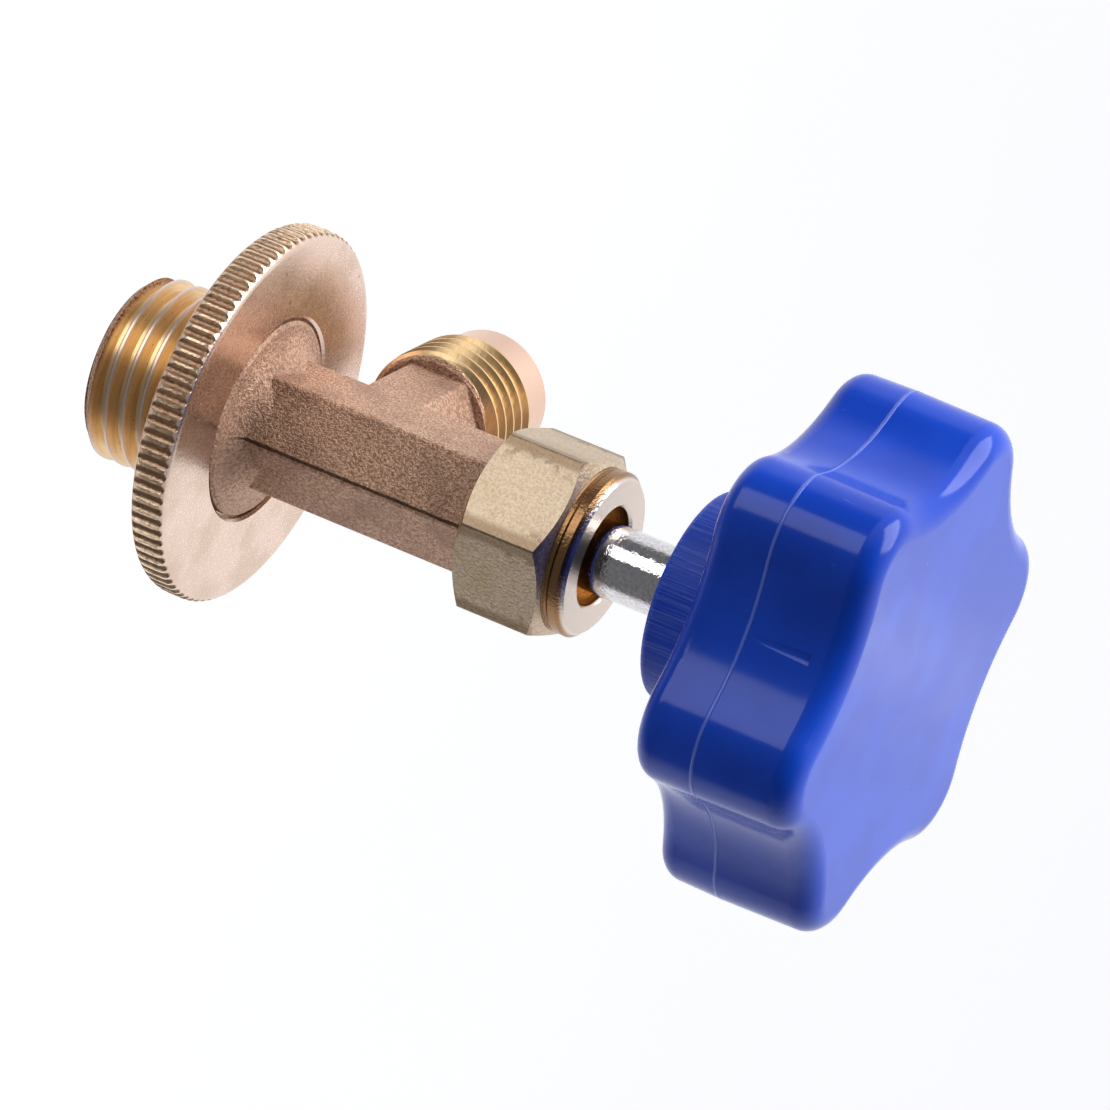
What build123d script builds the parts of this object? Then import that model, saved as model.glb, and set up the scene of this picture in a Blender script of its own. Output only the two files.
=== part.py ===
"""Refrigerant can tap: a piercing valve that screws on a gas can and feeds a hose.

Millimetres. The frame has +Z along the stem from the can to the handwheel,
+X along the hose port, and the origin at the centre of the can end of the body.
"""

import os
from math import atan2, ceil, cos, degrees, floor, hypot, pi, radians, sin, tan

from build123d import *

os.makedirs("parts", exist_ok=True)

# ---- fits -------------------------------------------------------------------
thread_clearance = 0.06  # radial, each thread of the body, nuts and stem
running_clearance = 0.05  # radial, stem in its gland and needle in the stem
packing_clearance = 0.02  # radial, the soft rings round the stem
drop_in_clearance = 0.10  # radial, loose rings in their bores

# ---- can end of the body ----------------------------------------------------
shank_thread_d = 14.8  # outside thread that carries the plate nut
shank_pitch = 1.5
shank_chamfer = 0.85
can_thread_d = 11.1  # inside thread for the neck of the can
can_pitch = 25.4 / 28
can_thread_share = 0.6  # of a full thread's height, as a tapping drill leaves it
socket_depth = 8.0
gasket_thickness = 2.0
gasket_hole_d = 4.0
socket_lead_in = 0.4

# ---- collar and barrel ------------------------------------------------------
plate_seat_z = 11.1  # underside of the collar, where the plate nut stops
collar_d = 15.5
collar_height = 1.0
neck_length = 2.9
barrel_flats = 9.2  # across the flats of the forged hexagon
barrel_corner_r = 0.45
barrel_end_z = 31.6
tube_end_z = 38.0  # top of the threaded tube under the packing nut
tube_thread_d = 9.0
tube_pitch = 1.0

# ---- passages inside the body -----------------------------------------------
seat_hole_d = 3.2
seat_z = 12.0
chamber_d = 6.2
stem_thread_d = 6.0
stem_pitch = 1.0
stem_thread_from_z = 25.0
stem_thread_to_z = 34.5
stuffing_box_d = 6.5
stuffing_box_z = 35.0

# ---- hose port, a 1/4 inch SAE flare ----------------------------------------
port_z = 20.2
port_thread_d = 11.11
port_pitch = 25.4 / 20
port_bore_d = 4.8
port_gallery_d = 4.0
branch_flats = 8.3
branch_length = 10.7
port_thread_length = 6.5
port_land_d = 9.9
port_land_length = 3.0
flare_tip_d = 5.5

# ---- plate nut --------------------------------------------------------------
plate_d = 29.5
plate_thickness = 3.05
plate_travel_turns = 6
knurl_teeth = 92
knurl_depth = 0.35
plate_front_round = 0.75
plate_back_round = 1.1
plate_bore_gap = 0.25  # between the collar and the rim of the plate nut

# ---- stem, needle, packing --------------------------------------------------
stem_d = 5.5
stem_foot_d = 4.6
stem_foot_z = 18.0
needle_d = 2.4
needle_head_d = 3.1
needle_tip_z = 8.2
needle_point_length = 3.0
washer_thickness = 0.5
packing_rings = 2
packing_ring_thickness = 1.0
gland_flange_thickness = 1.1

# ---- packing nut ------------------------------------------------------------
nut_flats = 13.5
nut_start_z = 32.0
nut_hex_length = 7.3
nut_boss_d = 12.9
nut_boss_height = 1.7
nut_hole_d = 7.8
nut_lip = 1.5

# ---- handwheel --------------------------------------------------------------
hub_start_z = 48.4
hub_d = 16.3
wheel_start_z = 54.0
wheel_end_z = 66.9
wheel_parting_z = 59.0
wheel_lobes = 6
wheel_d = 39.4  # over the lobes
wheel_valley_d = 32.6
lobe_r = 5.0
lobe_turn = 10.0  # degrees from +X to the first lobe
wheel_draft = 1.2  # degrees, both ways from the parting line
wheel_edge_r = 1.9
wheel_wall = 2.6
wheel_rib = 1.6
sink_marks = 3  # slim marks in every other valley, where the plastic shrank over a rib
sink_length = 4.8
sink_width = 0.9
sink_depth = 0.12
drive_flutes = 10
drive_length = 12.0

plate_bottom_z = plate_seat_z + collar_height * 0.95 - plate_thickness
nut_top_z = nut_start_z + nut_hex_length + nut_boss_height
gland_top_z = nut_top_z - nut_lip
packing_top_z = stuffing_box_z + washer_thickness + packing_rings * packing_ring_thickness


def thread_depth(pitch):
    """Radial height of a 60 degree thread."""
    return 0.6 * pitch


def thread_groove(diameter, pitch, from_z, to_z, inside):
    """The helical space of one thread about Z, cut square at both heights.

    Ridges of every outside thread pass z = 0 at a whole number of pitches, and
    the grooves of every inside thread do too, so the pairs always mesh.
    """
    depth = thread_depth(pitch)
    slack = thread_clearance if inside else -thread_clearance
    tip = pitch / 8
    wide = pitch * 7 / 8
    if inside:
        outer_r = diameter / 2 + slack
        inner_r = outer_r - depth - 0.3
        outer_half = tip / 2 + 0.02
        inner_half = outer_half + (outer_r - inner_r) * tan(radians(30))
        start = floor(from_z / pitch) * pitch
    else:
        inner_r = diameter / 2 + slack - depth
        outer_r = inner_r + depth + 0.06
        inner_half = wide / 2 - depth * tan(radians(30))
        outer_half = inner_half + (outer_r - inner_r) * tan(radians(30))
        start = (floor(from_z / pitch) - 0.5) * pitch
    outer_half = min(outer_half, pitch * 0.495)
    inner_half = min(inner_half, pitch * 0.495)
    turns = ceil((to_z - start) / pitch) + 1
    with BuildPart() as groove:
        with BuildLine():
            path = Helix(pitch, turns * pitch, inner_r, center=(0, 0, start))
        section = Plane(origin=path @ 0, x_dir=(1, 0, 0), z_dir=path % 0)
        with BuildSketch(section):
            with BuildLine():
                Polyline(
                    (0, -inner_half),
                    (outer_r - inner_r, -outer_half),
                    (outer_r - inner_r, outer_half),
                    (0, inner_half),
                    close=True,
                )
            make_face()
        sweep(path=path, is_frenet=True)
        with Locations((0, 0, from_z)):
            Cylinder(
                outer_r + 2,
                to_z - from_z,
                align=(Align.CENTER, Align.CENTER, Align.MIN),
                mode=Mode.INTERSECT,
            )
    return groove.part


def turned(points):
    """A solid turned about Z from (radius, height) corners."""
    with BuildPart() as shape:
        with BuildSketch(Plane.XZ):
            with BuildLine():
                Polyline(*points, close=True)
            make_face()
        revolve(axis=Axis.Z)
    return shape.part


def ring(outer_r, inner_r, from_z, thickness):
    """A plain ring about Z with lightly broken edges."""
    edge = min(0.12, thickness / 5)
    return turned(
        [
            (inner_r, from_z),
            (outer_r - edge, from_z),
            (outer_r, from_z + edge),
            (outer_r, from_z + thickness - edge),
            (outer_r - edge, from_z + thickness),
            (inner_r, from_z + thickness),
        ]
    )


# ---- valve body -------------------------------------------------------------
shank_r = shank_thread_d / 2 - thread_clearance
shank_root_r = shank_r - thread_depth(shank_pitch) - 0.1
shank_relief_z = plate_seat_z - 0.9
collar_r = collar_d / 2
collar_top_z = plate_seat_z + collar_height
barrel_corner = barrel_flats / 2 / cos(radians(30))
neck_end_r = barrel_flats / 2
tube_r = tube_thread_d / 2 - thread_clearance
tube_root_r = tube_r - thread_depth(tube_pitch) - 0.08
can_crest_r = can_thread_d / 2 + thread_clearance - can_thread_share * thread_depth(can_pitch)
gasket_r = can_thread_d / 2 + 0.1
stem_crest_r = stem_thread_d / 2 + thread_clearance - thread_depth(stem_pitch)
port_r = port_thread_d / 2
port_end_x = branch_length + port_thread_length
land_end_x = port_end_x + port_land_length
flare_end_x = land_end_x + (port_land_d - flare_tip_d) / 2

shank_groove = thread_groove(
    shank_thread_d, shank_pitch, -0.5, shank_relief_z + 0.4, inside=False
)
tube_groove = thread_groove(
    tube_thread_d, tube_pitch, barrel_end_z + 0.3, tube_end_z + 0.6, inside=False
)
can_groove = thread_groove(
    can_thread_d, can_pitch, 0.3, socket_depth - gasket_thickness - 0.1, inside=True
)
stem_hole_groove = thread_groove(
    stem_thread_d,
    stem_pitch,
    stem_thread_from_z - 0.2,
    stem_thread_to_z + 0.2,
    inside=True,
)
port_groove = thread_groove(
    port_thread_d + 2 * thread_clearance,
    port_pitch,
    -0.7,
    port_thread_length + 0.3,
    inside=False,
)
neck_arc_r = neck_length
gasket_from_z = socket_depth - gasket_thickness - 0.2
chamber_from_z = seat_z + (stem_foot_d - seat_hole_d) / 2 + 0.1

# the threaded end of the hose port, about Z from the end of the branch
with BuildPart() as port_end:
    with Locations((0, 0, -1)):
        Cylinder(
            port_r,
            port_thread_length + 2,
            align=(Align.CENTER, Align.CENTER, Align.MIN),
        )
    add(port_groove, mode=Mode.SUBTRACT)
    add(
        turned(
            [
                (0, -2),
                (port_r + 1, -2),
                (port_r + 1, 0.35),
                (port_r, 0.35),
                (port_r - 0.55, -0.2),
                (0, -0.2),
            ]
        ),
        mode=Mode.SUBTRACT,
    )
    add(
        turned(
            [
                (port_r, port_thread_length - 0.4),
                (port_r + 1, port_thread_length - 0.4),
                (port_r + 1, port_thread_length + 2),
                (0, port_thread_length + 2),
                (0, port_thread_length),
                (port_land_d / 2, port_thread_length),
            ]
        ),
        mode=Mode.SUBTRACT,
    )
    # plain land and 45 degree flare seat
    flare_end = port_thread_length + port_land_length + (port_land_d - flare_tip_d) / 2
    add(
        turned(
            [
                (0, port_thread_length - 0.5),
                (port_r - 1, port_thread_length - 0.5),
                (port_land_d / 2, port_thread_length),
                (port_land_d / 2, port_thread_length + port_land_length),
                (flare_tip_d / 2, flare_end),
                (0, flare_end),
            ]
        )
    )

with BuildPart() as valve_body:
    # turned shank, collar and the sweep of the neck into the barrel
    with BuildSketch(Plane.XZ):
        with BuildLine():
            Polyline(
                (0, 0),
                (shank_r - shank_chamfer, 0),
                (shank_r, shank_chamfer),
                (shank_r, plate_seat_z),
                (collar_r, plate_seat_z),
                (collar_r, collar_top_z - 0.25),
                (collar_r - 0.25, collar_top_z),
                (neck_end_r + neck_arc_r * 0.82, collar_top_z),
            )
            neck_top = (neck_end_r - 0.1, collar_top_z + neck_length)
            ThreePointArc(
                (neck_end_r + neck_arc_r * 0.82, collar_top_z),
                (neck_end_r + neck_arc_r * 0.19, collar_top_z + neck_length * 0.34),
                neck_top,
            )
            Polyline(neck_top, (0, collar_top_z + neck_length), (0, 0))
        make_face()
    revolve(axis=Axis.Z)
    # forged hexagon barrel, corners on the parting plane
    with BuildSketch(Plane.XY.offset(collar_top_z - 0.5)):
        RegularPolygon(barrel_corner, 6)
        fillet(vertices(), barrel_corner_r)
    extrude(amount=barrel_end_z - collar_top_z + 0.5)
    # forged hexagon branch for the hose port
    with BuildSketch(Plane.YZ):
        with Locations((0, port_z)):
            RegularPolygon(branch_flats / 2 / cos(radians(30)), 6, rotation=90)
        fillet(vertices(), barrel_corner_r)
    extrude(amount=branch_length + 0.2)
    # tube that takes the packing nut, left long until its thread is cut
    with BuildSketch(Plane.XY.offset(barrel_end_z)):
        Circle(tube_r)
    extrude(amount=tube_end_z - barrel_end_z + 1)
    with Locations(Location((branch_length, 0, port_z), (0, 90, 0))):
        add(port_end.part)
    # outside threads
    add(shank_groove, mode=Mode.SUBTRACT)
    add(tube_groove, mode=Mode.SUBTRACT)
    # relief between the shank's thread and the collar
    add(
        turned(
            [
                (shank_root_r, shank_relief_z + 0.1),
                (shank_r + 0.2, shank_relief_z - 0.1),
                (shank_r + 0.2, plate_seat_z),
                (shank_root_r, plate_seat_z),
            ]
        ),
        mode=Mode.SUBTRACT,
    )
    # neck under the tube's thread, and the tube faced to length
    add(
        turned(
            [
                (tube_root_r, barrel_end_z),
                (barrel_corner, barrel_end_z),
                (barrel_corner, barrel_end_z + 0.9),
                (tube_root_r, barrel_end_z + 0.9),
            ]
        ),
        mode=Mode.SUBTRACT,
    )
    add(
        turned(
            [
                (0, tube_end_z),
                (tube_root_r, tube_end_z),
                (tube_r + 0.1, tube_end_z - thread_depth(tube_pitch)),
                (tube_r + 0.1, tube_end_z + 2),
                (0, tube_end_z + 2),
            ]
        ),
        mode=Mode.SUBTRACT,
    )
    # bored through, then both inside threads
    with BuildSketch(Plane.XZ):
        with BuildLine():
            Polyline(
                (0, -1),
                (can_crest_r, -1),
                (can_crest_r, socket_depth),
                (seat_hole_d / 2, socket_depth),
                (seat_hole_d / 2, seat_z),
                (stem_crest_r, seat_z + stem_crest_r - seat_hole_d / 2),
                (stem_crest_r, tube_end_z + 1),
                (0, tube_end_z + 1),
                close=True,
            )
        make_face()
    revolve(axis=Axis.Z, mode=Mode.SUBTRACT)
    add(can_groove, mode=Mode.SUBTRACT)
    add(stem_hole_groove, mode=Mode.SUBTRACT)
    # lead-in and gasket groove of the can socket, gas chamber, stuffing box
    add(
        turned(
            [
                (0, -1),
                (gasket_r, -1),
                (gasket_r, 0),
                (can_crest_r, socket_lead_in),
                (0, socket_lead_in),
            ]
        ),
        mode=Mode.SUBTRACT,
    )
    add(
        turned(
            [
                (0, gasket_from_z),
                (gasket_r + 0.05, gasket_from_z),
                (gasket_r + 0.05, socket_depth),
                (0, socket_depth),
            ]
        ),
        mode=Mode.SUBTRACT,
    )
    add(
        turned(
            [
                (0, seat_z),
                (seat_hole_d / 2, seat_z),
                (stem_foot_d / 2 + 0.1, chamber_from_z),
                (chamber_d / 2, chamber_from_z),
                (chamber_d / 2, stem_thread_from_z),
                (0, stem_thread_from_z),
            ]
        ),
        mode=Mode.SUBTRACT,
    )
    add(
        turned(
            [
                (0, stem_thread_to_z),
                (stem_crest_r, stem_thread_to_z),
                (stuffing_box_d / 2, stuffing_box_z),
                (stuffing_box_d / 2, tube_end_z + 1),
                (0, tube_end_z + 1),
            ]
        ),
        mode=Mode.SUBTRACT,
    )
    # gallery from the chamber to the mouth of the hose port
    with BuildSketch(Plane.YZ):
        with Locations((0, port_z)):
            Circle(port_gallery_d / 2)
    extrude(amount=branch_length + 1, mode=Mode.SUBTRACT)
    with BuildSketch(Plane.YZ.offset(branch_length)):
        with Locations((0, port_z)):
            Circle(port_bore_d / 2)
    extrude(amount=flare_end_x, mode=Mode.SUBTRACT)
valve_body.part.label = "valve_body"

# ---- plate nut --------------------------------------------------------------
plate_r = plate_d / 2
plate_top_z = plate_bottom_z + plate_thickness
plate_bore_r = collar_r + plate_bore_gap
plate_crest_r = shank_thread_d / 2 + thread_clearance - thread_depth(shank_pitch)
plate_groove = thread_groove(
    shank_thread_d, shank_pitch, plate_bottom_z + 0.2, plate_seat_z + 0.2, inside=True
)
knurl_cutter_r = pi * plate_r / knurl_teeth * 0.82

with BuildPart() as plate_nut:
    with BuildSketch(Plane.XY.offset(plate_bottom_z)):
        Circle(plate_r)
    extrude(amount=plate_thickness)
    fillet(plate_nut.edges().group_by(Axis.Z)[-1], plate_front_round)
    fillet(plate_nut.edges().group_by(Axis.Z)[0], plate_back_round)
    # straight knurl round the rim
    with BuildSketch(Plane.XY.offset(plate_bottom_z)):
        with PolarLocations(plate_r + knurl_cutter_r - knurl_depth, knurl_teeth):
            Circle(knurl_cutter_r)
    extrude(amount=plate_thickness, mode=Mode.SUBTRACT)
    # threaded hole, then the seat for the collar and a broken edge at each face
    with BuildSketch(Plane.XY.offset(plate_bottom_z)):
        Circle(plate_crest_r)
    extrude(amount=plate_thickness, mode=Mode.SUBTRACT)
    add(plate_groove, mode=Mode.SUBTRACT)
    add(
        turned(
            [
                (0, plate_bottom_z - 1),
                (shank_thread_d / 2 + 0.3, plate_bottom_z - 1),
                (shank_thread_d / 2 + 0.3, plate_bottom_z),
                (plate_crest_r, plate_bottom_z + 0.6),
                (0, plate_bottom_z + 0.6),
            ]
        ),
        mode=Mode.SUBTRACT,
    )
    add(
        turned(
            [
                (0, plate_seat_z),
                (plate_bore_r, plate_seat_z),
                (plate_bore_r, plate_top_z - 0.2),
                (plate_bore_r + 0.2, plate_top_z),
                (plate_bore_r + 0.2, plate_top_z + 1),
                (0, plate_top_z + 1),
            ]
        ),
        mode=Mode.SUBTRACT,
    )
plate_nut.part.label = "plate_nut"

# ---- can gasket -------------------------------------------------------------
with BuildPart() as can_gasket:
    add(
        ring(
            gasket_r - 0.05,
            gasket_hole_d / 2,
            socket_depth - gasket_thickness,
            gasket_thickness,
        )
    )
can_gasket.part.label = "can_gasket"

# ---- piercing needle, held by its head in the foot of the stem --------------
needle_r = needle_d / 2
needle_head_z = stem_foot_z + 1.6
needle_head_height = 1.2

with BuildPart() as piercing_needle:
    add(
        turned(
            [
                (0, needle_tip_z),
                (needle_r, needle_tip_z + needle_point_length),
                (needle_r, needle_head_z),
                (needle_head_d / 2, needle_head_z + 0.2),
                (needle_head_d / 2, needle_head_z + needle_head_height),
                (0, needle_head_z + needle_head_height),
            ]
        )
    )
piercing_needle.part.label = "piercing_needle"

# ---- stem -------------------------------------------------------------------
stem_r = stem_d / 2
stem_screw_r = stem_thread_d / 2 - thread_clearance
stem_screw_root_r = stem_screw_r - thread_depth(stem_pitch) - 0.08
stem_screw_from_z = stem_thread_from_z - 1.0
stem_screw_to_z = stem_thread_to_z - 1.3
drive_from_z = hub_start_z + 1.0
drive_to_z = drive_from_z + drive_length
drive_r = stem_r + 0.25
stem_groove = thread_groove(
    stem_thread_d, stem_pitch, stem_screw_from_z - 0.2, stem_screw_to_z - 0.1, inside=False
)


def flute_cutter():
    """The grooves between the drive teeth that grip the handwheel."""
    with BuildPart() as cutter:
        with BuildSketch(Plane.XY.offset(drive_from_z)):
            with PolarLocations(drive_r + 0.15, drive_flutes):
                Circle(0.55)
        extrude(amount=drive_length)
    return cutter.part


flutes = flute_cutter()

with BuildPart() as stem:
    add(
        turned(
            [
                (0, stem_foot_z),
                (seat_hole_d / 2 - 0.2, stem_foot_z),
                (stem_foot_d / 2, stem_foot_z + 0.9),
                (stem_foot_d / 2, stem_screw_from_z - 0.6),
                (stem_screw_root_r, stem_screw_from_z - 0.4),
                (stem_screw_root_r, stem_screw_from_z),
                (stem_screw_r, stem_screw_from_z + 0.6),
                (stem_screw_r, stem_screw_to_z - 0.2),
                (stem_r, stem_screw_to_z),
                (stem_r, drive_from_z - 0.2),
                (drive_r, drive_from_z),
                (drive_r, drive_to_z - 0.4),
                (drive_r - 0.4, drive_to_z),
                (0, drive_to_z),
            ]
        )
    )
    add(stem_groove, mode=Mode.SUBTRACT)
    add(flutes, mode=Mode.SUBTRACT)
    # socket for the needle: a head room closed by the rolled-in lip below it
    add(
        turned(
            [
                (0, stem_foot_z - 1),
                (needle_r + running_clearance, stem_foot_z - 1),
                (needle_r + running_clearance, needle_head_z - 0.05),
                (
                    needle_head_d / 2 + running_clearance,
                    needle_head_z + 0.15,
                ),
                (
                    needle_head_d / 2 + running_clearance,
                    needle_head_z + needle_head_height,
                ),
                (0, needle_head_z + needle_head_height + 0.6),
            ]
        ),
        mode=Mode.SUBTRACT,
    )
stem.part.label = "stem"

# ---- packing, from the bottom of the stuffing box up ------------------------
box_r = stuffing_box_d / 2 - packing_clearance
with BuildPart() as packing_washer:
    add(
        ring(
            box_r - drop_in_clearance / 2,
            stem_r + 2 * running_clearance,
            stuffing_box_z,
            washer_thickness,
        )
    )
packing_washer.part.label = "packing_washer"

with BuildPart() as packing:
    for index in range(packing_rings):
        add(
            ring(
                box_r,
                stem_r + packing_clearance,
                stuffing_box_z + washer_thickness + index * packing_ring_thickness,
                packing_ring_thickness,
            )
        )
packing.part.label = "packing_rings"

# ---- gland: a nose in the stuffing box under a flange that the nut presses --
gland_flange_r = tube_thread_d / 2 - 0.15
gland_flange_z = gland_top_z - gland_flange_thickness
with BuildPart() as gland:
    add(
        turned(
            [
                (stem_r + running_clearance, packing_top_z),
                (box_r - drop_in_clearance / 2, packing_top_z),
                (box_r - drop_in_clearance / 2, gland_flange_z),
                (gland_flange_r, gland_flange_z),
                (gland_flange_r, gland_top_z),
                (stem_r + running_clearance + 0.25, gland_top_z),
                (stem_r + running_clearance, gland_top_z - 0.25),
            ]
        )
    )
gland.part.label = "gland"

# ---- packing nut ------------------------------------------------------------
nut_crest_r = tube_thread_d / 2 + thread_clearance - thread_depth(tube_pitch)
nut_hex_end_z = nut_start_z + nut_hex_length
nut_corner = nut_flats / 2 / cos(radians(30))
nut_groove = thread_groove(
    tube_thread_d, tube_pitch, nut_start_z + 0.2, tube_end_z - 0.15, inside=True
)

with BuildPart() as packing_nut:
    with BuildSketch(Plane.XY.offset(nut_start_z)):
        RegularPolygon(nut_corner, 6, rotation=48)
        fillet(vertices(), 0.25)
    extrude(amount=nut_hex_length)
    # both ends turned: corners chamfered at 30 degrees, then the round boss in front
    nut_back_r = nut_flats / 2 - 0.1
    chamfer_drop = (nut_corner - nut_boss_d / 2) * tan(radians(30))
    add(
        turned(
            [
                (0, nut_start_z),
                (nut_back_r, nut_start_z),
                (nut_corner + 1, nut_start_z + (nut_corner + 1 - nut_back_r) * tan(radians(30))),
                (nut_corner + 1, nut_hex_end_z - chamfer_drop - tan(radians(30))),
                (nut_boss_d / 2, nut_hex_end_z),
                (0, nut_hex_end_z),
            ]
        ),
        mode=Mode.INTERSECT,
    )
    add(
        turned(
            [
                (0, nut_hex_end_z - 1),
                (nut_boss_d / 2 - 0.2, nut_hex_end_z - 1),
                (nut_boss_d / 2 - 0.2, nut_hex_end_z + 0.35),
                (nut_boss_d / 2, nut_hex_end_z + 0.6),
                (nut_boss_d / 2, nut_top_z - 0.5),
                (nut_boss_d / 2 - 0.5, nut_top_z),
                (0, nut_top_z),
            ]
        )
    )
    # threaded hole, then its lead-in, the gland room and the hole for the stem
    with BuildSketch(Plane.XY.offset(nut_start_z)):
        Circle(nut_crest_r)
    extrude(amount=tube_end_z - nut_start_z, mode=Mode.SUBTRACT)
    add(nut_groove, mode=Mode.SUBTRACT)
    add(
        turned(
            [
                (0, nut_start_z - 1),
                (tube_thread_d / 2 + 0.2, nut_start_z - 1),
                (tube_thread_d / 2 + 0.2, nut_start_z),
                (nut_crest_r, nut_start_z + 0.5),
                (0, nut_start_z + 0.5),
            ]
        ),
        mode=Mode.SUBTRACT,
    )
    add(
        turned(
            [
                (0, tube_end_z - 0.4),
                (tube_thread_d / 2 + 0.15, tube_end_z - 0.4),
                (tube_thread_d / 2 + 0.15, gland_top_z),
                (nut_hole_d / 2, gland_top_z),
                (nut_hole_d / 2, nut_top_z - 0.2),
                (nut_hole_d / 2 + 0.2, nut_top_z),
                (nut_hole_d / 2 + 0.2, nut_top_z + 1),
                (0, nut_top_z + 1),
            ]
        ),
        mode=Mode.SUBTRACT,
    )
packing_nut.part.label = "packing_nut"

# ---- handwheel --------------------------------------------------------------
half_step = radians(180 / wheel_lobes)


def lobed_outline(inset):
    """The lobed face, moved in by inset: each lobe and valley is a tangent arc."""
    tip = wheel_d / 2 - inset
    valley = wheel_valley_d / 2 - inset
    small = lobe_r - inset
    lobe_at = tip - small
    reach = lobe_at * cos(half_step)
    large = lobe_at**2 + valley**2 - 2 * valley * reach - small**2
    large = large / (2 * small + 2 * reach - 2 * valley)
    valley_at = valley + large
    # neighbouring arcs touch on the line between their centres
    share = small / (small + large)
    touch_x = lobe_at + (valley_at * cos(half_step) - lobe_at) * share
    touch_y = valley_at * sin(half_step) * share
    touch_r = hypot(touch_x, touch_y)
    touch_turn = atan2(touch_y, touch_x)
    with BuildSketch() as face:
        with BuildLine():
            for index in range(wheel_lobes):
                middle = radians(lobe_turn) + index * 2 * half_step
                before = polar(touch_r, middle - touch_turn)
                after = polar(touch_r, middle + touch_turn)
                onward = polar(touch_r, middle + 2 * half_step - touch_turn)
                ThreePointArc(before, polar(tip, middle), after)
                ThreePointArc(after, polar(valley, middle + half_step), onward)
        make_face()
    return face.sketch


def polar(radius, turn):
    """A point at a radius and an angle in radians."""
    return (radius * cos(turn), radius * sin(turn))


wheel_outline = lobed_outline(0)
core_outline = lobed_outline(wheel_wall)
core_top_z = wheel_end_z - wheel_wall - 0.3
sink_r = sink_width**2 / (8 * sink_depth)
sink_middle_z = wheel_end_z - wheel_edge_r - 0.9 - sink_length / 2
sink_inset = (sink_middle_z - wheel_parting_z) * tan(radians(wheel_draft))
sink_axis_r = wheel_valley_d / 2 - sink_inset + sink_r - sink_depth / 2
sink_tilt = wheel_draft + degrees(atan2(sink_depth, sink_length))

with BuildPart() as handwheel:
    with BuildSketch(Plane.XY.offset(wheel_parting_z)):
        add(wheel_outline)
    extrude(amount=wheel_end_z - wheel_parting_z, taper=wheel_draft)
    with BuildSketch(Plane.XY.offset(wheel_parting_z)):
        add(wheel_outline)
    extrude(amount=-(wheel_parting_z - wheel_start_z), taper=wheel_draft)
    fillet(handwheel.edges().group_by(Axis.Z)[-1], wheel_edge_r)
    fillet(handwheel.edges().group_by(Axis.Z)[0], wheel_edge_r * 0.8)
    # the back is cored out, leaving the rim, the hub and a rib to each valley
    with BuildSketch(Plane.XY.offset(wheel_start_z)):
        add(core_outline)
        Circle(hub_d / 2, mode=Mode.SUBTRACT)
        with PolarLocations(0, wheel_lobes, start_angle=lobe_turn + 180 / wheel_lobes):
            Rectangle(
                wheel_d,
                wheel_rib,
                align=(Align.MIN, Align.CENTER),
                mode=Mode.SUBTRACT,
            )
    extrude(amount=core_top_z - wheel_start_z, mode=Mode.SUBTRACT)
    # the marks are deepest at the front and fade out toward the parting line
    with PolarLocations(sink_axis_r, sink_marks, start_angle=lobe_turn + 180 / wheel_lobes):
        with Locations(Location((0, 0, sink_middle_z), (0, -sink_tilt, 0))):
            Cylinder(sink_r, sink_length, mode=Mode.SUBTRACT)
            with Locations((0, 0, sink_length / 2)):
                Sphere(sink_r, mode=Mode.SUBTRACT)
    # hub
    with BuildSketch(Plane.XY.offset(hub_start_z)):
        Circle(hub_d / 2)
    extrude(amount=core_top_z - hub_start_z + 0.5)
    fillet(handwheel.edges().group_by(Axis.Z)[0], 0.6)
    # hole moulded round the stem and its drive teeth
    add(
        turned(
            [
                (0, hub_start_z - 1),
                (stem_r + 0.1, hub_start_z - 1),
                (stem_r + 0.1, drive_from_z - 0.1),
                (drive_r, drive_from_z),
                (drive_r, drive_to_z - 0.4),
                (drive_r - 0.4, drive_to_z),
                (0, drive_to_z),
            ]
        )
        - flutes,
        mode=Mode.SUBTRACT,
    )
handwheel.part.label = "handwheel"

for piece, name in (
    (valve_body, "valve_body"),
    (plate_nut, "plate_nut"),
    (can_gasket, "can_gasket"),
    (piercing_needle, "piercing_needle"),
    (stem, "stem"),
    (packing_washer, "packing_washer"),
    (packing, "packing_rings"),
    (gland, "gland"),
    (packing_nut, "packing_nut"),
    (handwheel, "handwheel"),
):
    export_step(piece.part, f"parts/{name}.step")
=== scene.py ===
"""The looks of a refrigerant can tap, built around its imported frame.

A forged brass body carries a knurled plate nut, a hexagon packing nut, a chrome
stem and a blue plastic handwheel. Everything is in metres, with +Z along the stem
and +X along the hose port. Patterns are sized in millimetres.
"""

import math

import bmesh
import bpy
from mathutils import Color, Euler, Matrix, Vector


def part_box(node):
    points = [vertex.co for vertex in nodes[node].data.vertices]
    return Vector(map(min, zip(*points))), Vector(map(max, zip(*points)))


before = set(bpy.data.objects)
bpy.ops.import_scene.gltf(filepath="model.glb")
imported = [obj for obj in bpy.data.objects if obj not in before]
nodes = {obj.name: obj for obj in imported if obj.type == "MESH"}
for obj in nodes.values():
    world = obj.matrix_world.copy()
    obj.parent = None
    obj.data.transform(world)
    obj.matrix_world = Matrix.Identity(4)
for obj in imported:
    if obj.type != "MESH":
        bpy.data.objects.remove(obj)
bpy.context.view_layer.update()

MM = 0.001

# ---- sizes taken from the frame, in millimetres ------------------------------


def corners(node):
    """The lowest and highest corners of a node, in millimetres."""
    low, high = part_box(node)
    return low / MM, high / MM


body_high = corners("valve_body")[1]
plate_low, plate_high = corners("plate_nut")
nut_high = corners("packing_nut")[1]
wheel_low = corners("handwheel")[0]

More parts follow.
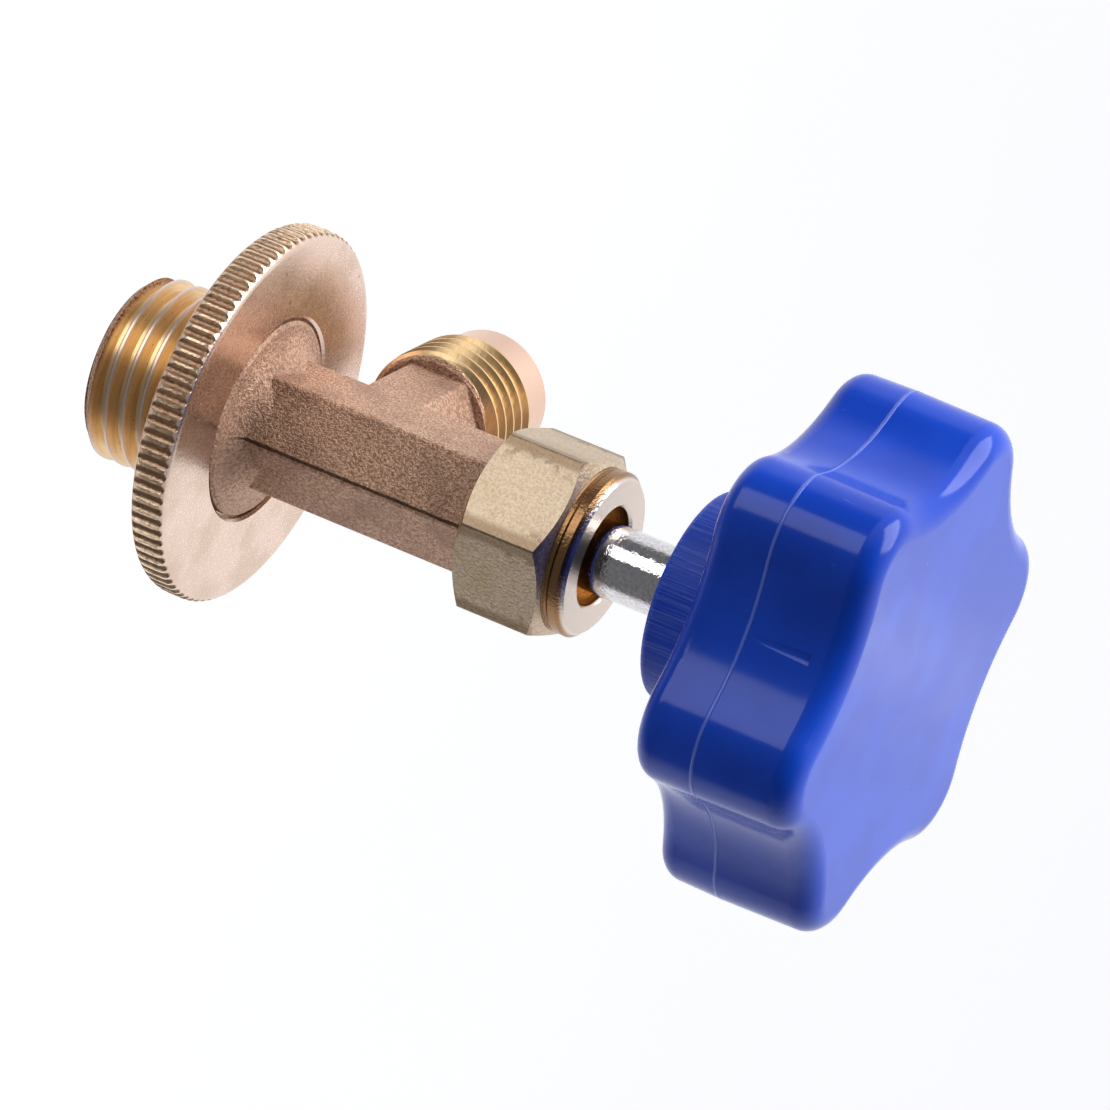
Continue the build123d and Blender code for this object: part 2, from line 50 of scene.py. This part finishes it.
collar_top = plate_high.z + 0.05
port_length = 11.7  # from the end of the forged branch to the tip of the nose
branch_end = body_high.x - port_length
port_land_start = branch_end + 6.45  # where the flare thread gives way to the plain nose
port_axis_z = 20.2
plate_radius = plate_high.x
knurl_depth = 0.35
nut_boss_start = nut_high.z - 1.7
parting_z = 59.0  # where the two halves of the wheel's mould met
hub_end = wheel_low.z + 5.6  # the hub behind the wheel ends here
edge_softness = 0.1  # how gently one finish meets the next


# ---- finishes ----------------------------------------------------------------


def paint(red, green, blue):
    """A screen colour, 0 to 255 a channel, as the linear colour that shaders take."""
    linear = Color((red / 255, green / 255, blue / 255)).from_srgb_to_scene_linear()
    return (*linear, 1.0)


class Finish:
    """One material, whose pattern is worked out from the place on the object in millimetres."""

    def __init__(self, name, **values):
        self.material = bpy.data.materials.new(name)
        self.material.use_nodes = True
        self.tree = self.material.node_tree
        self.shader = self.tree.nodes["Principled BSDF"]
        for socket, value in values.items():
            self.shader.inputs[socket.replace("_", " ")].default_value = value
        place = self.tree.nodes.new("ShaderNodeTexCoord").outputs["Object"]
        scaled = self.tree.nodes.new("ShaderNodeVectorMath")
        scaled.operation = "SCALE"
        scaled.inputs["Scale"].default_value = 1 / MM
        self.tree.links.new(place, scaled.inputs[0])
        self.place = scaled.outputs[0]
        split = self.tree.nodes.new("ShaderNodeSeparateXYZ")
        self.tree.links.new(self.place, split.inputs[0])
        self.x, self.y, self.z = split.outputs

    def feed(self, socket, value):
        """Links a socket to another node's output, or sets it to a plain value."""
        if isinstance(value, bpy.types.NodeSocket):
            self.tree.links.new(value, socket)
        else:
            socket.default_value = value

    def maths(self, operation, *values):
        """A sum, product or other operation on numbers."""
        node = self.tree.nodes.new("ShaderNodeMath")
        node.operation = operation
        for socket, value in zip(node.inputs, values):
            self.feed(socket, value)
        return node.outputs[0]

    def radius(self, across, up, centre=(0.0, 0.0)):
        """The distance from an axis, from the two coordinates square to it."""
        a = self.maths("SUBTRACT", across, centre[0])
        b = self.maths("SUBTRACT", up, centre[1])
        squares = self.maths("ADD", self.maths("MULTIPLY", a, a), self.maths("MULTIPLY", b, b))
        return self.maths("SQRT", squares)

    def rise(self, value, start, end):
        """0 below start and 1 above end, smooth between; it falls if start is the higher."""
        node = self.tree.nodes.new("ShaderNodeMapRange")
        node.interpolation_type = "SMOOTHSTEP"
        low, high = min(start, end), max(start, end)
        self.feed(node.inputs["Value"], value)
        node.inputs["From Min"].default_value = low
        node.inputs["From Max"].default_value = high
        node.inputs["To Min"].default_value = 0.0 if start < end else 1.0
        node.inputs["To Max"].default_value = 1.0 if start < end else 0.0
        return node.outputs["Result"]

    def both(self, *masks):
        """The masks multiplied together."""
        result = masks[0]
        for mask in masks[1:]:
            result = self.maths("MULTIPLY", result, mask)
        return result

    def band(self, value, centre, half_width, softness):
        """1 within half_width of the centre, fading to 0 over softness."""
        offset = self.maths("ABSOLUTE", self.maths("SUBTRACT", value, centre))
        return self.rise(offset, half_width + softness, half_width)

    def noise(self, size, detail=3.0, roughness=0.55, stretch=(1.0, 1.0, 1.0)):
        """Cloudy noise with lumps of about this size."""
        mapping = self.tree.nodes.new("ShaderNodeMapping")
        mapping.inputs["Scale"].default_value = [s / size for s in stretch]
        self.tree.links.new(self.place, mapping.inputs["Vector"])
        node = self.tree.nodes.new("ShaderNodeTexNoise")
        self.tree.links.new(mapping.outputs[0], node.inputs["Vector"])
        node.inputs["Scale"].default_value = 1.0
        node.inputs["Detail"].default_value = detail
        node.inputs["Roughness"].default_value = roughness
        return node.outputs["Fac"]

    def grains(self, size):
        """The distance to the nearest of scattered grains of about this size."""
        node = self.tree.nodes.new("ShaderNodeTexVoronoi")
        self.tree.links.new(self.place, node.inputs["Vector"])
        node.inputs["Scale"].default_value = 1 / size
        return node.outputs["Distance"]

    def mix(self, factor, first, second):
        """One colour turning into another as the factor goes from 0 to 1."""
        node = self.tree.nodes.new("ShaderNodeMix")
        node.data_type = "RGBA"
        node.clamp_factor = True
        self.feed(node.inputs[0], factor)
        self.feed(node.inputs[6], first)
        self.feed(node.inputs[7], second)
        return node.outputs[2]

    def slide(self, factor, first, second):
        """One number turning into another as the factor goes from 0 to 1."""
        node = self.tree.nodes.new("ShaderNodeMix")
        node.data_type = "FLOAT"
        self.feed(node.inputs[0], factor)
        self.feed(node.inputs[2], first)
        self.feed(node.inputs[3], second)
        return node.outputs[0]

    def bump(self, height, depth, under=None):
        """Relief of this depth in millimetres, on top of any relief under it."""
        node = self.tree.nodes.new("ShaderNodeBump")
        node.inputs["Strength"].default_value = 1.0
        node.inputs["Distance"].default_value = depth * MM
        self.tree.links.new(height, node.inputs["Height"])
        if under is not None:
            self.tree.links.new(under, node.inputs["Normal"])
        return node.outputs[0]

    def finish(self, colour=None, roughness=None, normal=None):
        """Links the finished colour, roughness and relief to the shader."""
        fed = {"Base Color": colour, "Roughness": roughness, "Normal": normal}
        for socket, value in fed.items():
            if value is not None:
                self.tree.links.new(value, self.shader.inputs[socket])
        return self.material


def forged_brass():
    """Sandy bronze forging with golden machined threads; the barrel has a dark parting line."""
    f = Finish("forged brass", Metallic=0.85)
    around_stem = f.radius(f.x, f.y)
    around_port = f.radius(f.y, f.z, (0.0, port_axis_z))

    # the forged skin: sand grain, brown in the pits
    coarse = f.noise(0.22, detail=3.0, roughness=0.62)
    fine = f.noise(0.12, detail=2.0, roughness=0.6)
    cloud = f.noise(4.0, detail=2.0)
    skin = f.mix(f.rise(coarse, 0.34, 0.66), paint(162, 124, 100), paint(224, 186, 160))
    skin = f.mix(f.both(f.rise(fine, 0.58, 0.74), 0.75), skin, paint(250, 222, 200))
    skin = f.mix(f.both(f.rise(cloud, 0.45, 0.7), 0.4), skin, paint(140, 108, 92))
    barrel = f.both(f.rise(f.z, collar_top, collar_top + 0.8), f.rise(f.x, -1.0, -3.0))
    line_wobble = f.maths("MULTIPLY", f.maths("SUBTRACT", f.noise(1.4), 0.5), 0.16)
    parting = f.both(barrel, f.band(f.maths("ADD", f.y, line_wobble), 0.17, 0.06, 0.10))
    skin = f.mix(f.both(parting, 0.85), skin, paint(58, 34, 22))

    # machined brass: golden in the grooves, with the crests painted pale as a highlight
    turning = f.noise(0.9, detail=2.0, stretch=(0.25, 0.25, 6.0))
    golden = f.mix(f.rise(turning, 0.35, 0.65), paint(226, 188, 138), paint(238, 206, 158))
    specks = f.rise(f.grains(0.55), 0.13, 0.05)
    golden = f.mix(f.both(specks, 0.6), golden, paint(96, 60, 28))
    # painted highlight: the shank thread's crests are paler than its grooves
    shank_crest_highlight = f.rise(around_stem, 7.16, 7.30)
    shank = f.mix(shank_crest_highlight, golden, paint(222, 200, 186))
    end_chamfer = f.rise(f.z, 1.0, 0.75)
    rough_end = f.mix(f.rise(coarse, 0.40, 0.60), paint(106, 70, 46), paint(190, 142, 104))
    shank = f.mix(end_chamfer, shank, rough_end)
    # painted highlight: the port thread's crests are paler than its grooves
    port_crest_highlight = f.rise(around_port, 5.36, 5.50)
    port = f.mix(port_crest_highlight, golden, paint(228, 196, 146))
    nose = f.rise(f.x, port_land_start - edge_softness, port_land_start + edge_softness)
    port = f.mix(nose, port, paint(226, 190, 168))

    shank_zone = f.rise(f.z, collar_top - 0.95, collar_top - 1.05)
    port_zone = f.rise(f.x, branch_end - 0.02, branch_end + 0.1)
    inside = f.both(f.rise(around_stem, 5.75, 5.55), shank_zone)
    colour = f.mix(shank_zone, skin, shank)
    colour = f.mix(inside, colour, golden)
    colour = f.mix(port_zone, colour, port)

    machined = f.maths("MAXIMUM", shank_zone, port_zone)
    smooth = f.slide(f.both(end_chamfer, shank_zone), 0.30, 0.55)
    roughness = f.slide(machined, f.slide(coarse, 0.34, 0.58), smooth)

    grain = f.slide(machined, coarse, 0.5)
    relief = f.bump(grain, 0.20)
    grain = f.slide(machined, fine, f.both(turning, 0.12))
    relief = f.bump(grain, 0.12, relief)
    relief = f.bump(parting, -0.08, relief)
    return f.finish(colour, roughness, relief)


def plated_brass():
    """The plate nut: polished pale gold, with a knurled rim darkened by painted shade in its
    valleys.
    """
    f = Finish("plated brass", Metallic=1.0)
    around = f.radius(f.x, f.y)
    rim = f.both(
        f.rise(around, plate_radius - 0.62, plate_radius - 0.45),
        f.band(f.z, (plate_low.z + plate_high.z) / 2, 1.2, 0.15),
    )
    satin = f.noise(0.30, detail=2.0)
    cloud = f.noise(4.0, detail=2.0)
    face = f.mix(f.rise(cloud, 0.40, 0.66), paint(228, 202, 184), paint(214, 188, 168))
    spots = f.rise(f.grains(2.3), 0.10, 0.05)
    face = f.mix(f.both(spots, 0.5), face, paint(120, 84, 56))
    # painted shade: the knurl is darker in its valleys than on its tooth tops
    knurl_valley_shade = f.rise(around, plate_radius - 0.04, plate_radius - knurl_depth)
    knurl = f.mix(knurl_valley_shade, paint(244, 218, 188), paint(172, 136, 108))
    knurl = f.mix(f.both(f.rise(f.noise(0.35), 0.5, 0.7), 0.6), knurl, paint(132, 98, 74))
    colour = f.mix(rim, face, knurl)
    roughness = f.slide(rim, f.slide(satin, 0.20, 0.34), 0.36)
    relief = f.bump(satin, 0.012)
    relief = f.bump(f.both(rim, f.noise(0.22)), 0.07, relief)
    return f.finish(colour, roughness, relief)


def nut_brass():
    """The packing nut: khaki brass with fine speckle, brown stains at the edges."""
    f = Finish("nut brass", Metallic=1.0)
    around = f.radius(f.x, f.y)
    speckle = f.noise(0.22, detail=2.0)
    cloud = f.noise(3.0, detail=3.0)
    khaki = f.mix(f.rise(speckle, 0.35, 0.65), paint(190, 168, 142), paint(214, 194, 168))
    khaki = f.mix(f.both(f.rise(cloud, 0.50, 0.70), 0.4), khaki, paint(182, 160, 118))
    edge = f.rise(f.maths("ADD", around, f.maths("MULTIPLY", speckle, 0.3)), 7.42, 7.66)
    stains = f.both(f.rise(f.noise(1.1, detail=4.0), 0.52, 0.62), f.rise(around, 6.9, 7.4))
    pits = f.rise(f.grains(1.1), 0.11, 0.05)
    tarnish = f.maths("MAXIMUM", f.maths("MAXIMUM", edge, stains), f.both(pits, 0.6))
    colour = f.mix(f.both(tarnish, 0.55), khaki, paint(118, 88, 60))
    boss = f.rise(f.z, nut_boss_start, nut_boss_start + edge_softness)
    boss_face = f.rise(f.z, nut_high.z - 0.35, nut_high.z - 0.1)
    boss_colour = f.mix(boss_face, paint(150, 112, 76), paint(212, 197, 184))
    colour = f.mix(boss, colour, boss_colour)
    roughness = f.slide(boss, f.slide(speckle, 0.36, 0.50), 0.26)
    relief = f.bump(speckle, 0.035)
    return f.finish(colour, roughness, relief)


def golden_brass():
    """Bright turned brass inside the valve, with fine tool rings."""
    f = Finish("golden brass", Metallic=1.0)
    rings = f.noise(0.5, detail=2.0, stretch=(0.3, 0.3, 8.0))
    colour = f.mix(rings, paint(190, 140, 66), paint(236, 190, 104))
    relief = f.bump(rings, 0.01)
    return f.finish(colour, f.slide(rings, 0.22, 0.36), relief)


def chrome():
    """Bright plate over a slightly pebbly stem."""
    f = Finish("chrome", Metallic=1.0)
    pebbles = f.noise(0.30, detail=2.0)
    colour = f.mix(f.rise(pebbles, 0.3, 0.7), paint(206, 202, 204), paint(232, 230, 230))
    relief = f.bump(pebbles, 0.025)
    return f.finish(colour, f.slide(pebbles, 0.05, 0.10), relief)


def needle_steel():
    """Ground tool steel with fine grinding marks round the point."""
    f = Finish("needle steel", Metallic=1.0)
    grinding = f.noise(0.25, detail=2.0, stretch=(0.2, 0.2, 6.0))
    colour = f.mix(grinding, paint(128, 130, 134), paint(186, 188, 192))
    relief = f.bump(grinding, 0.008)
    return f.finish(colour, f.slide(grinding, 0.20, 0.34), relief)


def gasket_rubber():
    """Black rubber, dull and faintly dusty."""
    f = Finish("gasket rubber")
    dust = f.noise(0.6, detail=4.0)
    colour = f.mix(f.rise(dust, 0.4, 0.75), paint(22, 22, 23), paint(52, 51, 50))
    relief = f.bump(f.noise(0.15), 0.02)
    return f.finish(colour, f.slide(dust, 0.62, 0.82), relief)


def packing_plastic():
    """Off-white packing, waxy and slightly fibrous."""
    f = Finish("packing", Subsurface_Weight=0.1)
    fibre = f.noise(0.4, detail=3.0)
    colour = f.mix(fibre, paint(222, 219, 210), paint(245, 243, 238))
    relief = f.bump(fibre, 0.01)
    return f.finish(colour, f.slide(fibre, 0.35, 0.5), relief)


def blue_plastic():
    """Glossy moulded plastic with a pale parting line, a streaky hub and light handling wear."""
    f = Finish("blue plastic", Specular_IOR_Level=0.32)
    around = f.radius(f.x, f.y)
    flow = f.noise(7.0, detail=2.0)
    colour = f.mix(f.rise(flow, 0.35, 0.7), paint(14, 64, 186), paint(20, 72, 200))
    wobble = f.maths("MULTIPLY", f.maths("SUBTRACT", f.noise(1.5), 0.5), 0.10)
    line = f.band(f.maths("ADD", f.z, wobble), parting_z, 0.05, 0.12)
    line = f.both(line, f.rise(around, 13.0, 14.0))
    colour = f.mix(f.both(line, 0.55), colour, paint(116, 140, 240))
    scuffs = f.rise(f.noise(0.35, detail=4.0, stretch=(1.0, 1.0, 0.25)), 0.66, 0.76)
    scuffs = f.both(scuffs, f.rise(f.noise(5.0), 0.5, 0.7))
    colour = f.mix(f.both(scuffs, 0.35), colour, paint(120, 140, 226))
    hub = f.rise(f.z, hub_end + edge_softness, hub_end - edge_softness)
    streaks = f.both(hub, f.rise(f.noise(0.5, detail=3.0, stretch=(2.5, 2.5, 0.06)), 0.45, 0.7))
    colour = f.mix(f.both(streaks, 0.30), colour, paint(120, 140, 226))
    gloss = f.slide(f.noise(1.2), 0.12, 0.18)
    roughness = f.slide(f.maths("MAXIMUM", scuffs, hub), gloss, 0.42)
    relief = f.bump(f.noise(6.0, detail=1.0), 0.04)
    relief = f.bump(streaks, 0.03, relief)
    relief = f.bump(line, 0.06, relief)
    return f.finish(colour, roughness, relief)


finishes = {
    "valve_body": forged_brass(),
    "plate_nut": plated_brass(),
    "can_gasket": gasket_rubber(),
    "piercing_needle": needle_steel(),
    "stem": chrome(),
    "packing_nut": nut_brass(),
    "packing_rings": packing_plastic(),
    "handwheel": blue_plastic(),
}
turned = golden_brass()
finishes["packing_washer"] = turned
finishes["gland"] = turned
for name, finish in finishes.items():
    nodes[name].data.materials[0] = finish


# ---- floor, light and camera -------------------------------------------------


def pale_floor(height, half_size):
    """A glowing pale floor under the valve, with painted shade greying it toward one side."""
    shape = bmesh.new()
    bmesh.ops.create_grid(shape, x_segments=1, y_segments=1, size=half_size)
    bmesh.ops.translate(shape, verts=shape.verts, vec=(0, 0, height))
    mesh = bpy.data.meshes.new("floor")
    shape.to_mesh(mesh)
    shape.free()
    floor = bpy.data.objects.new("floor", mesh)
    bpy.context.scene.collection.objects.link(floor)
    f = Finish("floor glow and painted shade", Roughness=0.9, Specular_IOR_Level=0.2, Emission_Strength=0.35)
    # the floor glows; it is white behind the valve, with painted shade greying it toward the
    # unlit side of the room
    along = f.maths("ADD", f.maths("MULTIPLY", f.x, 0.91), f.maths("MULTIPLY", f.y, -0.41))
    cloud = f.noise(400.0)
    white = f.mix(cloud, paint(246, 246, 248), paint(250, 250, 250))
    painted_shade_tone = f.mix(f.rise(along, -300.0, 300.0), paint(110, 110, 112), white)
    f.tree.links.new(painted_shade_tone, f.shader.inputs["Emission Color"])
    mesh.materials.append(f.finish(painted_shade_tone))


pale_floor(height=-0.5, half_size=4.0)

camera_data = bpy.data.cameras.new("camera")
camera_data.sensor_width = 36.0
camera_data.lens = 228.4
camera_data.clip_start = 0.01
camera = bpy.data.objects.new("camera", camera_data)
camera.location = Vector((-438.888, 197.840, 221.016)) * MM
camera.rotation_euler = Euler([math.radians(a) for a in (-44.8958, -59.7875, 24.6565)])
bpy.context.scene.collection.objects.link(camera)
bpy.context.scene.camera = camera

centre = Vector((2.0, 0.0, 34.0)) * MM
camera_axes = camera.rotation_euler.to_matrix()


def softbox(name, right, up, near, width, height, power):
    """A soft light this many metres right, up and near of the valve, seen from the camera."""
    light = bpy.data.lights.new(name, "AREA")
    light.shape = "RECTANGLE"
    light.size = width
    light.size_y = height
    light.energy = power
    lamp = bpy.data.objects.new(name, light)
    offset = camera_axes @ Vector((right, up, near))
    lamp.location = centre + offset
    lamp.rotation_euler = offset.to_track_quat("Z", "Y").to_euler()
    lamp.visible_camera = False
    bpy.context.scene.collection.objects.link(lamp)


softbox("key softbox", right=-0.35, up=0.50, near=0.45, width=0.45, height=0.45, power=1.5)
softbox("side softbox", right=0.60, up=0.25, near=0.15, width=0.50, height=0.60, power=4.5)
softbox("catch light", right=0.55, up=-0.22, near=-0.66, width=0.012, height=0.012, power=0.003)


def studio_world(toward_light, dark, bright):
    """A white studio that darkens toward the side where the room is unlit."""
    world = bpy.data.worlds.new("studio")
    world.use_nodes = True
    tree = world.node_tree
    direction = tree.nodes.new("ShaderNodeTexCoord").outputs["Generated"]
    facing = tree.nodes.new("ShaderNodeVectorMath")
    facing.operation = "DOT_PRODUCT"
    facing.inputs[1].default_value = toward_light
    tree.links.new(direction, facing.inputs[0])
    fade = tree.nodes.new("ShaderNodeMapRange")
    fade.interpolation_type = "SMOOTHSTEP"
    fade.inputs["From Min"].default_value = -0.9
    fade.inputs["From Max"].default_value = 0.1
    fade.inputs["To Min"].default_value = dark
    fade.inputs["To Max"].default_value = bright
    tree.links.new(facing.outputs["Value"], fade.inputs["Value"])
    background = tree.nodes["Background"]
    background.inputs["Color"].default_value = (0.96, 0.97, 1.0, 1.0)
    tree.links.new(fade.outputs["Result"], background.inputs["Strength"])
    bpy.context.scene.world = world


studio_world(toward_light=camera_axes @ Vector((0.1, 0.3, -0.95)), dark=0.05, bright=1.12)
bpy.context.scene.view_settings.view_transform = "Standard"
